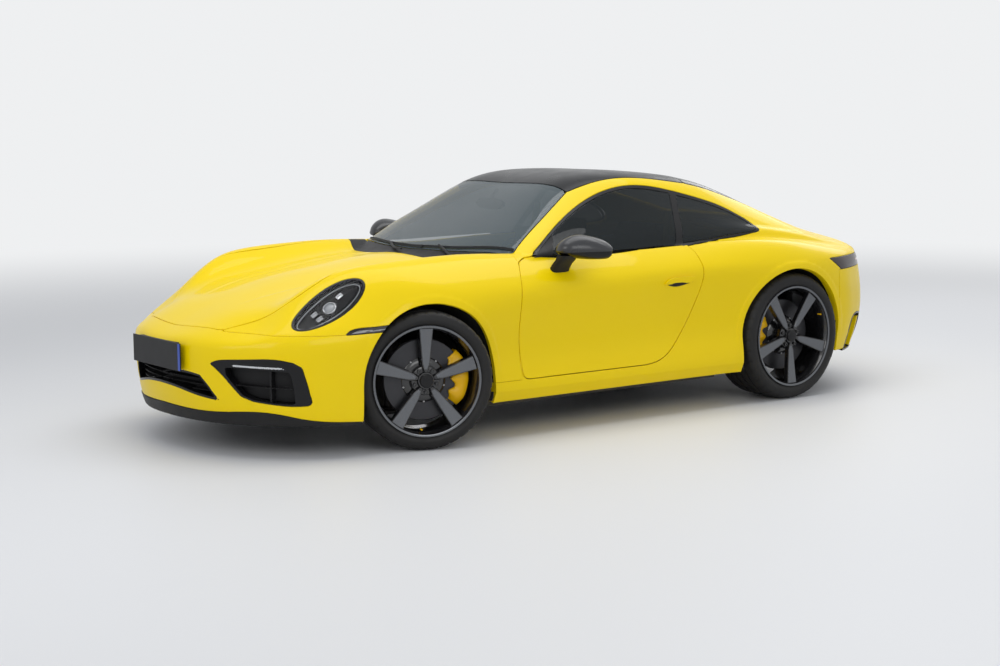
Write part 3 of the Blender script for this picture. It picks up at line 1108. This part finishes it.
made("plate_holder", [plain_box((2.226, 2.261), (-0.2, 0.2), (0.43, 0.54))], plastic, SHELL, bevel=0.004)
made("plate", [plain_box((2.2605, 2.2655), (-0.26, 0.26), (0.406, 0.541))], plate_black, SHELL, bevel=0.002)
made("plate_band", [plain_box((2.263, 2.2662), (0.2345, 0.2575), (0.4085, 0.5385))], plate_blue, SHELL,
    bevel=0.0006)

# ------------------------------------------------------------------ headlamps
# Clear oval lenses over black bowls, with a light guide ring, a projector and small
# modules on a bright plate, held in gloss-black bezels.
lens_clear = finish("lamp_lens", (0.03, 0.032, 0.036), roughness=0.02, alpha=0.1, uneven=0.0, specular=0.7)
bowl_black = finish("lamp_bowl", (0.004, 0.004, 0.005), roughness=0.5, specular=0.2)
chrome = finish("lamp_chrome", (0.55, 0.56, 0.58), roughness=0.12, metallic=1.0)
guide_white = finish("light_guide", (0.46, 0.48, 0.5), roughness=0.22, coat=0.6)


def lamp_place(u, v, sink):
    """A point in the lamp, by its place on the oval and its depth under the skin."""
    start = LAMP_MIDDLE + lamp_u * u + lamp_v * v
    return start + LAMP_WAY * (reach_skin(start[None], LAMP_WAY, -0.2, 0.2, 30)[0] - sink)


def lamp_unit(u, v, sink, outline):
    """A unit through rings at several heights, facing along the lamp's line of sight."""
    middle = lamp_place(u, v, sink)
    return lofted([[tuple(middle + LAMP_WAY * h + lamp_u * a + lamp_v * b) for a, b in ring] for h,
            ring in outline])


def ring_turns(steps):
    return np.linspace(0, 2 * math.pi, steps, endpoint=False)


def level_oval(a, b, steps=28):
    return [(a * math.cos(t), b * math.sin(t)) for t in ring_turns(steps)]


def square_ring(a, b):
    return [(-a, -b), (a, -b), (a, b), (-a, b)]


# Rings of each unit: height towards the lens, then radius or half width and half height.
PROJECTOR = ((-0.01, 0.036), (0.006, 0.036), (0.01, 0.033), (0.01, 0.03), (0.002, 0.029), (0.002, 0.006))
EYE = ((0.0, 0.028), (0.006, 0.026), (0.012, 0.019), (0.015, 0.01), (0.016, 0.003))
SMALL_UNIT = ((-0.008, 0.016, 0.012), (0.008, 0.016, 0.012), (0.008, 0.012, 0.008), (0.003, 0.01, 0.006))
SMALL_UNITS_AT = ((-0.075, 0.018), (-0.072, -0.02), (0.078, 0.018), (0.08, -0.02))
projector, eye = (lamp_unit(0.005, 0.0, 0.03, [(h, level_oval(r, r)) for h, r in rings])
    for rings in (PROJECTOR, EYE))
small_units = [lamp_unit(u, v, 0.032, [(h, square_ring(a, b)) for h, a, b in SMALL_UNIT]) for u,
    v in SMALL_UNITS_AT]
shelf = lamp_unit(0.0, 0.0, 0.04, [(0.0, level_oval(0.15, 0.048, 40)), (0.004, level_oval(0.146, 0.045, 40))])
for side_name, half in SIDES:
    flip = side_name == "right"
    skin_panel(f"headlamp_bezel_{side_name}", [lamp_field(0.0025), no(lamp_field(-0.009)), half], trim_black,
        ["headlamps"], depth=0.045, roll=0.003, fine=1)
    skin_panel(f"headlamp_bowl_{side_name}", [lamp_field(-0.004), half], bowl_black, ["headlamps"],
        depth=0.006, sink=0.042)
    skin_panel(f"headlamp_lens_{side_name}", [lamp_field(-0.0085), half], lens_clear, ["headlamps"],
        depth=0.003, roll=0.002, sink=0.001)
    skin_panel(f"light_guide_{side_name}", [lamp_field(-0.02), no(lamp_field(-0.0245)), half], guide_white,
        depth=0.005, roll=0.001, sink=0.02, fine=1)
    made(f"lamp_units_{side_name}", [projector] + small_units, chrome, SHELL, bevel=0.0008, mirror=flip)
    made(f"lamp_eye_{side_name}", [eye], guide_white, SHELL, mirror=flip, angle=60)
    made(f"lamp_shelf_{side_name}", [shelf], bowl_black, SHELL, mirror=flip)

# ------------------------------------------------------------------ door mirrors
# Moulded gloss caps over darker lower shells, with the glass set in behind, on cast arms
# bolted to the door skins.
mirror_grey = finish("mirror_cap", (0.024, 0.025, 0.029), roughness=0.3, coat=0.3, specular=0.4)
mirror_glass = finish("mirror_glass", (0.55, 0.57, 0.6), roughness=0.04, metallic=1.0, uneven=0.01)
# Columns: y; front x; rear x; bottom z; top z.
MIRROR_ROWS = np.array(((0.838, 0.45, 0.265, 0.882, 0.972), (0.9, 0.456, 0.24, 0.876, 1.004),
        (0.955, 0.41, 0.218, 0.876, 0.99), (0.99, 0.33, 0.206, 0.882, 0.962),
        (1.01, 0.262, 0.203, 0.894, 0.938)))
MIRROR_TIP_Z, MIRROR_CREASE_Z, MIRROR_CROWN = 0.925, 0.919, 0.56


def cap_rise(s):
    """Height of the cap along its length, 0 at the front tip and 1 at the crown."""
    if s < MIRROR_CROWN:
        return (1 - (1 - s / MIRROR_CROWN) ** 2.2) ** 0.72
    return 1 - 0.26 * ((s - MIRROR_CROWN) / (1 - MIRROR_CROWN)) ** 1.5


def mirror_rings(upper):
    """Outlines of the housing above or below its crease, from the inner end to the outer."""
    rings = []
    for y, draw in ((0.838, 0.8), (0.842, 0.92), (0.85, 1), (0.87, 1), (0.89, 1), (0.91, 1), (0.93, 1),
            (0.95, 1), (0.965, 1), (0.98, 1), (0.99, 1), (1.0, 1), (1.006, 0.97), (1.01, 0.88),
            (1.0125, 0.7)):
        front, rear, low, high = spline(MIRROR_ROWS, [min(max(y, 0.838), 1.01)])[0]
        if upper:
            crown = high - MIRROR_TIP_Z
            ring = [(front - (front - rear - 0.004) * s ** 1.15, MIRROR_TIP_Z + crown * cap_rise(s))
                for s in np.linspace(0, 1, 15)] + [(rear, MIRROR_TIP_Z + crown * 0.66),
                (rear, MIRROR_CREASE_Z), (front - 0.004, MIRROR_CREASE_Z)]
        else:
            ring = [(rear + 0.002, MIRROR_CREASE_Z), (rear + 0.004, low + 0.006),
                (rear + 0.014, low)] + [(rear + 0.014 + (front - rear - 0.02) * s,
                    low + (MIRROR_CREASE_Z - 0.004 - low) * s ** 2.6)
                for s in np.linspace(0.2, 1, 9)] + [(front - 0.006, MIRROR_CREASE_Z)]
        ring = np.array(ring)
        middle = np.array(((front + rear) / 2, MIRROR_CREASE_Z))
        ring = middle + (ring - middle) * draw
        rings.append([(x, y, z) for x, z in ring])
    return rings


def squared(value, power):
    """A sine or cosine that squares its curve off where power is below 1."""
    return math.copysign(abs(value) ** power, value)


def oval_ring(x, y, z, a, b, power=1.0):
    """A rounded outline lying level."""
    return [(x + a * squared(math.cos(t), power), y + b * squared(math.sin(t), power), z)
        for t in ring_turns(32)]


def mirror_pane(grow, x):
    """Outline of the mirror's glass, grown and set back from the housing's rear edge."""
    ring = []
    for t in ring_turns(36):
        y = 0.926 + (0.072 + grow) * squared(math.cos(t), 0.7)
        _, rear, low, high = spline(MIRROR_ROWS, [np.clip(y, 0.842, 1.01)])[0]
        high -= (high - MIRROR_TIP_Z) * 0.34
        ring.append((rear + x, y, (low + high) / 2
                + ((high - low) / 2 - 0.01 + grow) * squared(math.sin(t), 0.7)))
    return ring


for side_name, flip in (("left", False), ("right", True)):
    door = f"door_{side_name}"
    made(f"mirror_cap_{side_name}", [lofted(mirror_rings(True))], mirror_grey, door, [f"mirror_{side_name}"],
        "gloss_black", mirror=flip, angle=50)
    made(f"mirror_shell_{side_name}", [lofted(mirror_rings(False))], trim_black, door,
        [f"mirror_{side_name}"], "gloss_black", mirror=flip, angle=50)
    arm = [oval_ring(x, y, z, a, b, 0.6) for x, y, z, a, b in ((0.4, 0.806, 0.8, 0.058, 0.026),
            (0.402, 0.822, 0.828, 0.058, 0.026), (0.402, 0.846, 0.856, 0.054, 0.028),
            (0.4, 0.87, 0.878, 0.052, 0.034), (0.398, 0.882, 0.9, 0.05, 0.038))]
    made(f"mirror_arm_{side_name}", [lofted(arm)], plastic, door, [f"mirror_{side_name}"], "black_plastic",
        mirror=flip, angle=50)
    made(f"mirror_glass_{side_name}", [lofted([mirror_pane(0, -0.0015), mirror_pane(0.001, 0.004)])],
        mirror_glass, door, (), "lamp_glass", mirror=flip)

# ------------------------------------------------------------------ door furniture
# Flush painted grips with a dark finger gap under them, and the black sail panel at the
# front corner of each window.
HANDLE_LINE = drawn(((-262, 706.5), (-285, 727), (-330, 740), (-400, 742), (-472, 740)),
    ((-477, 733), (-468, 720), (-380, 713.5), (-300, 707.5)))
FINGER_LINE = drawn([(-292, 711), (-316, 720), (-474, 726)], ((-474, 713), (-400, 697), (-330, 693),
        (-292, 702)))
for side_name, half in SIDES:
    door = f"door_{side_name}"
    skin_panel(f"door_grip_{side_name}", [flank_on(HANDLE_LINE), half], paint, body=door, depth=0.013,
        roll=0.007, sink=-0.015, fine=2)
    skin_panel(f"finger_gap_{side_name}", [flank_on(FINGER_LINE), half], plastic, body=door, depth=0.005,
        roll=0.001, sink=-0.003, fine=2)
    skin_panel(f"sail_panel_{side_name}", [profile([(0.53, 0.8865), (0.404, 0.892), (0.35, 0.966),
                    (0.34, 0.99)]), half], plastic, body=door, depth=0.003, roll=0.001, sink=-0.0015, fine=1)
    skin_panel(f"door_lining_{side_name}", [profile(DOOR_LINE, 0.035), half, beyond(2, 0.86, -1)], plastic,
        body=door, depth=(0.006, 0.012, 0.0), sink=0.078)

# ------------------------------------------------------------------ wipers
# Two rubber blades on folded steel arms, parked along the foot of the windscreen.
def strip_along(path, wide, high, lift):
    """A bar along points in plan, standing on the skin."""
    rings = []
    for i, (x, y) in enumerate(path):
        before, after = path[max(i - 1, 0)], path[min(i + 1, len(path) - 1)]
        way = Vector((after[0] - before[0], after[1] - before[1], 0)).normalized()
        off = Vector((-way.y, way.x, 0)) * wide / 2
        z = reach_skin(np.array([[x, y, 0]]), np.array((0, 0, 1)), 0.5, 1.5, 24)[0] + lift
        rings.append([(x - off.x, y - off.y, z), (x + off.x, y + off.y, z),
                (x + off.x * 0.4, y + off.y * 0.4, z + high), (x - off.x * 0.4, y - off.y * 0.4, z + high)])
    return lofted(rings)


wiper_path = through((0.585, 0.675), (0.715, 0.34), (0.757, 0.02))
far_path = through((0.757, 0.1), (0.742, -0.22), (0.64, -0.6))
made("wiper_blades", [strip_along(wiper_path, 0.012, 0.01, 0.003), strip_along(far_path, 0.012, 0.01, 0.003)],
    rubber, SHELL)
made("wiper_arms", [strip_along(through((0.8, 0.47), (0.775, 0.36), (0.742, 0.25), (0.735, 0.22)), 0.016,
            0.008, 0.012), strip_along(through((0.815, -0.02), (0.795, -0.12), (0.752, -0.22),
                (0.744, -0.25)), 0.016, 0.008, 0.012)], plastic, SHELL, bevel=0.001)

# ------------------------------------------------------------------ rear corners
# Black outlet ducts cut into the bumper behind each wheel, with a painted blade, and the
# light strip behind the dark lens.
strip_red = finish("tail_strip", (0.42, 0.01, 0.012), roughness=0.16, coat=1.0)
for side_name, half in SIDES:
    skin_panel(f"vent_back_{side_name}", [vent, half], plastic, depth=0.006, sink=0.026, fine=1)
    skin_panel(f"vent_rim_{side_name}", [vent, half, lambda co: 0.01 - within(VENT_LINE, co[:, 0], co[:, 2])],
        trim_black, depth=0.026, roll=0.002, fine=1)
    skin_panel(f"vent_blade_{side_name}", [all_of(flank_on(STRIP_LINE), beyond(0, -1.5, -1)), half], paint,
        depth=0.024, roll=0.002, sink=0.002, fine=2)
skin_panel("tail_strip", [lambda co: lamp_end(co) - 0.17, beyond(2, 0.741), beyond(2, 0.753, -1)], strip_red,
    depth=0.002, roll=0.001, sink=-0.0008, fine=1)

# ------------------------------------------------------------------ tailpipes
# Bright steel trims, round, two each side of the middle, over the silencer's pipes.
pipe_steel = finish("pipe_steel", (0.3, 0.3, 0.31), roughness=0.22, metallic=1.0, uneven=0.08)
quarter_turn = Matrix.Rotation(math.radians(90), 4, "Z")
for number, y in enumerate((-0.3, -0.19, 0.19, 0.3)):
    trim = turned([(0.0, 0.0475), (0.19, 0.0475), (0.208, 0.0495), (0.212, 0.048), (0.21, 0.044),
            (0.19, 0.042), (0.0, 0.042)], 48)
    made(f"tailpipe_{number}", [trim], pipe_steel, SHELL, place=Matrix.Translation((-2.0, y, 0.292))
        @ quarter_turn)

# ------------------------------------------------------------------ seats
# Foam pads in black leather with stitched channels, pulled over plastic shells, with
# yellow belts. Pads swell from smaller forms by cloth pressure.
leather = finish("seat_leather", (0.022, 0.022, 0.024), roughness=0.46, grains=320.0, relief=0.0008,
    uneven=0.07, second=(0.03, 0.029, 0.029))
belt_yellow = finish("belt_webbing", (0.42, 0.36, 0.03), roughness=0.7, grains=1400.0, relief=0.0006)
seat_shell = finish("seat_shell", (0.016, 0.016, 0.017), roughness=0.4, grains=800.0, relief=0.0003)
CLOTH_FRAMES, CLOTH_PRESSURE, PAD_VOXEL, PAD_CAP = 16, 4.0, 0.01, 0.014
CHANNEL_DEEP, CHANNEL_WIDE = 0.007, 0.011


def swollen(piece):
    """Blow the pad up a little with cloth pressure, holding each point near its place."""
    mesh = piece.data
    remesh = piece.modifiers.new("remesh", "REMESH")
    remesh.mode, remesh.voxel_size = "VOXEL", PAD_VOXEL
    graph = bpy.context.evaluated_depsgraph_get()
    fine = bpy.data.meshes.new_from_object(piece.evaluated_get(graph))
    piece.modifiers.clear()
    piece.data = fine
    bpy.data.meshes.remove(mesh)
    before = np.array([v.co for v in fine.vertices])
    cloth = piece.modifiers.new("cloth", "CLOTH")
    cloth.settings.use_pressure, cloth.settings.uniform_pressure_force = True, CLOTH_PRESSURE
    cloth.settings.effector_weights.gravity = 0.0
    for frame_number in range(1, CLOTH_FRAMES + 1):
        scene.frame_set(frame_number)
    graph = bpy.context.evaluated_depsgraph_get()
    blown = bpy.data.meshes.new_from_object(piece.evaluated_get(graph))
    after = np.array([v.co for v in blown.vertices])
    bpy.data.meshes.remove(blown)
    piece.modifiers.clear()
    scene.frame_set(1)
    move = after - before
    reach = np.linalg.norm(move, axis=1)[:, None]
    move = move * np.minimum(1, PAD_CAP / np.maximum(reach, 1e-9))
    return before + move


def pad(name, rings, channels):
    """A stuffed pad through its rings, with sewn channels where channels(co) is near zero."""
    piece = made(name, [lofted(rings)], leather, SHELL, ["seats"], "seat_leather", angle=180)
    soften = piece.modifiers.new("soften", "SUBSURF")
    soften.levels = soften.render_levels = 2
    graph = bpy.context.evaluated_depsgraph_get()
    smooth = bpy.data.meshes.new_from_object(piece.evaluated_get(graph))
    piece.modifiers.clear()
    piece.data = smooth
    moved_to = swollen(piece)
    piece.data.vertices.foreach_set("co", moved_to.astype(np.float32).ravel())
    co = np.array([v.co for v in piece.data.vertices])
    normals = np.array([v.normal for v in piece.data.vertices])
    depth = CHANNEL_DEEP * np.exp(-(channels(co) / CHANNEL_WIDE) ** 2)
    piece.data.vertices.foreach_set("co", (co - normals * depth[:, None]).astype(np.float32).ravel())
    piece.data.update()
    piece.data.shade_smooth()


def seat_ring(outline, y, wide, draw=1.0):
    """The pad's outline in (x, z), drawn in towards its middle, at one distance across."""
    ring = np.array(outline)
    middle = ring.mean(0)
    return [(x, y + wide, z) for x, z in middle + (ring - middle) * draw]


CUSHION = ((-0.315, 0.285), (-0.1, 0.262), (0.12, 0.268), (0.178, 0.318), (0.182, 0.4), (0.13, 0.432),
    (-0.05, 0.418), (-0.2, 0.395), (-0.3, 0.382))
SQUAB = ((-0.415, 0.365), (-0.325, 0.365), (-0.335, 0.5), (-0.385, 0.65), (-0.43, 0.82), (-0.462, 0.9),
    (-0.505, 1.005), (-0.53, 1.032), (-0.56, 1.01), (-0.548, 0.9), (-0.505, 0.7), (-0.455, 0.5))
REAR_PAD = ((-0.865, 0.315), (-0.575, 0.315), (-0.57, 0.385), (-0.78, 0.425), (-0.84, 0.56), (-0.893, 0.785),
    (-0.9, 0.5))
WIDTHS = ((-1.0, 0.72), (-0.93, 0.94), (-0.62, 1.0), (-0.55, 0.965), (-0.25, 0.955), (0.25, 0.955),
    (0.55, 0.965), (0.62, 1.0), (0.93, 0.94), (1.0, 0.72))
SHELL_BACK = ((-0.47, 0.34), (-0.42, 0.345), (-0.465, 0.5), (-0.515, 0.7), (-0.56, 0.9), (-0.572, 1.0),
    (-0.585, 1.0), (-0.58, 0.88), (-0.535, 0.68), (-0.49, 0.48))
BELT = through((-0.545, 0.585, 1.075), (-0.52, 0.6, 0.9), (-0.5, 0.625, 0.6), (-0.47, 0.64, 0.32))
BELT_HALF, BELT_THICK = 0.023, 0.0022
for side_name, y in (("left", 0.35), ("right", -0.35)):
    across_seat = lambda co, y=y: np.abs(np.abs(co[:, 1] - y) - 0.125)
    pad(f"seat_cushion_{side_name}", [seat_ring(CUSHION, y, 0.228 * share, draw) for share, draw in WIDTHS],
        lambda co, f=across_seat: np.minimum(f(co), np.abs((co[:, 0] + 0.02) % 0.11 - 0.055) + 0.004))
    pad(f"seat_squab_{side_name}", [seat_ring(SQUAB, y, (0.205 - 0.02 * abs(share)) * share, draw) for share,
            draw in WIDTHS], lambda co, f=across_seat: np.minimum(f(co),
            np.abs((co[:, 2] - 0.4) % 0.12 - 0.06) + 0.004))
    pad(f"rear_seat_{side_name}", [seat_ring(REAR_PAD, y * 0.94, 0.19 * share, draw) for share,
            draw in WIDTHS], lambda co, y=y: np.abs(np.abs(co[:, 1] - y * 0.94) - 0.1))
    made(f"seat_back_shell_{side_name}",
        [lofted([[(x, y + w, z) for x, z in SHELL_BACK] for w in (-0.185, -0.16, 0.16, 0.185)])], seat_shell,
        SHELL, bevel=0.004)
    made(f"seat_rails_{side_name}", [plain_box((-0.3, 0.1), (y + a, y + a + 0.04), (0.196, 0.262))
            for a in (-0.2, 0.16)], seat_shell, SHELL, bevel=0.003)
    sign = 1 if y > 0 else -1
    rings = [[(x - BELT_HALF, sign * v, z), (x + BELT_HALF, sign * v, z),
            (x + BELT_HALF, sign * (v + BELT_THICK), z), (x - BELT_HALF, sign * (v + BELT_THICK), z)] for x,
        v, z in BELT]
    made(f"belt_{side_name}", [lofted(rings)], belt_yellow, SHELL)

# ------------------------------------------------------------------ cabin trim
# Leather-grained dashboard with a glass display, roof console mirror, and painted sills.
display = finish("display_glass", (0.01, 0.011, 0.013), roughness=0.08, coat=1.0)
made("display", [lofted([[(x, y, z) for x, z in ((0.5, 0.73), (0.53, 0.83), (0.522, 0.832), (0.492, 0.732))]
                for y in (-0.15, 0.13)])], display, SHELL, bevel=0.002)
made("binnacle", [lofted([oval_ring(x, 0.37, z, a, b, 0.7) for x, z, a, b in ((0.555, 0.838, 0.06, 0.15),
                    (0.545, 0.862, 0.072, 0.17), (0.545, 0.88, 0.07, 0.165), (0.555, 0.886, 0.045, 0.13))])],
    plastic, SHELL, angle=50)
made("inside_mirror", [lofted([[(x, y, z) for y, z in through((-0.125, 1.125), (-0.09, 1.15), (0.0, 1.154),
                        (0.09, 1.15), (0.125, 1.125), (0.09, 1.1), (0.0, 1.095), (-0.09, 1.1))]
                for x in (0.225, 0.25)]), lofted([oval_ring(0.236, 0, 1.14, 0.01, 0.012),
                oval_ring(0.19, 0, 1.2, 0.01, 0.012)])], plastic, SHELL, bevel=0.004)
for side_name, sign in (("left", 1), ("right", -1)):
    made(f"sill_{side_name}",
        [lofted([[(x, sign * y, z) for y, z in ((0.69, 0.19), (0.855, 0.19), (0.868, 0.24), (0.86, 0.285),
                            (0.7, 0.285))] for x in (-0.795, 0.845)])], paint, SHELL, bevel=0.006)
    made(f"centre_post_{side_name}",
        [lofted([[(x, sign * y, z) for x, y in ((-0.615, 0.7), (-0.475, 0.7), (-0.475, 0.725),
                            (-0.615, 0.725))] for z in (0.2, 0.93)])], plastic, SHELL, bevel=0.004)

# ------------------------------------------------------------------ structure and running gear
# Pieces kept from the frame: pressed floor, felt wheel-arch liners, cast suspension and
# engine, silencer, diffuser, dashboard and the leather-bound steering wheel.
liner_felt = finish("liner_felt", (0.012, 0.012, 0.012), roughness=0.95, grains=1200.0, relief=0.001,
    dust=0.25)
underseal = finish("underseal", (0.03, 0.03, 0.031), roughness=0.7, grains=300.0, relief=0.0006, dust=0.35)
cast_alloy = finish("cast_alloy", (0.27, 0.27, 0.275), roughness=0.5, metallic=0.9, grains=600.0,
    relief=0.0003, uneven=0.08, dust=0.35)
cast_iron = finish("cast_iron", (0.07, 0.065, 0.062), roughness=0.6, metallic=0.8, grains=500.0,
    relief=0.0004, uneven=0.08, dust=0.35)
silencer = finish("silencer_steel", (0.24, 0.235, 0.23), roughness=0.36, metallic=1.0, uneven=0.1, dust=0.2)
dash_leather = finish("dash_leather", (0.018, 0.018, 0.019), roughness=0.55, grains=420.0, relief=0.0006)
wheel_leather = finish("wheel_leather", (0.014, 0.014, 0.015), roughness=0.42, grains=700.0, relief=0.0004)
KEPT = {"floor_pan": underseal, "arch_liners": liner_felt, "engine_block": cast_alloy, "rear_axle": cast_iron,
    "front_axle": cast_iron, "knuckle_left": cast_alloy, "knuckle_right": cast_alloy, "exhausts": silencer,
    "rear_diffuser": plastic, "dashboard": dash_leather, "steering_wheel": wheel_leather}
for node, material in KEPT.items():
    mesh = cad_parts[node].data
    mesh.materials.clear()
    mesh.materials.append(material)
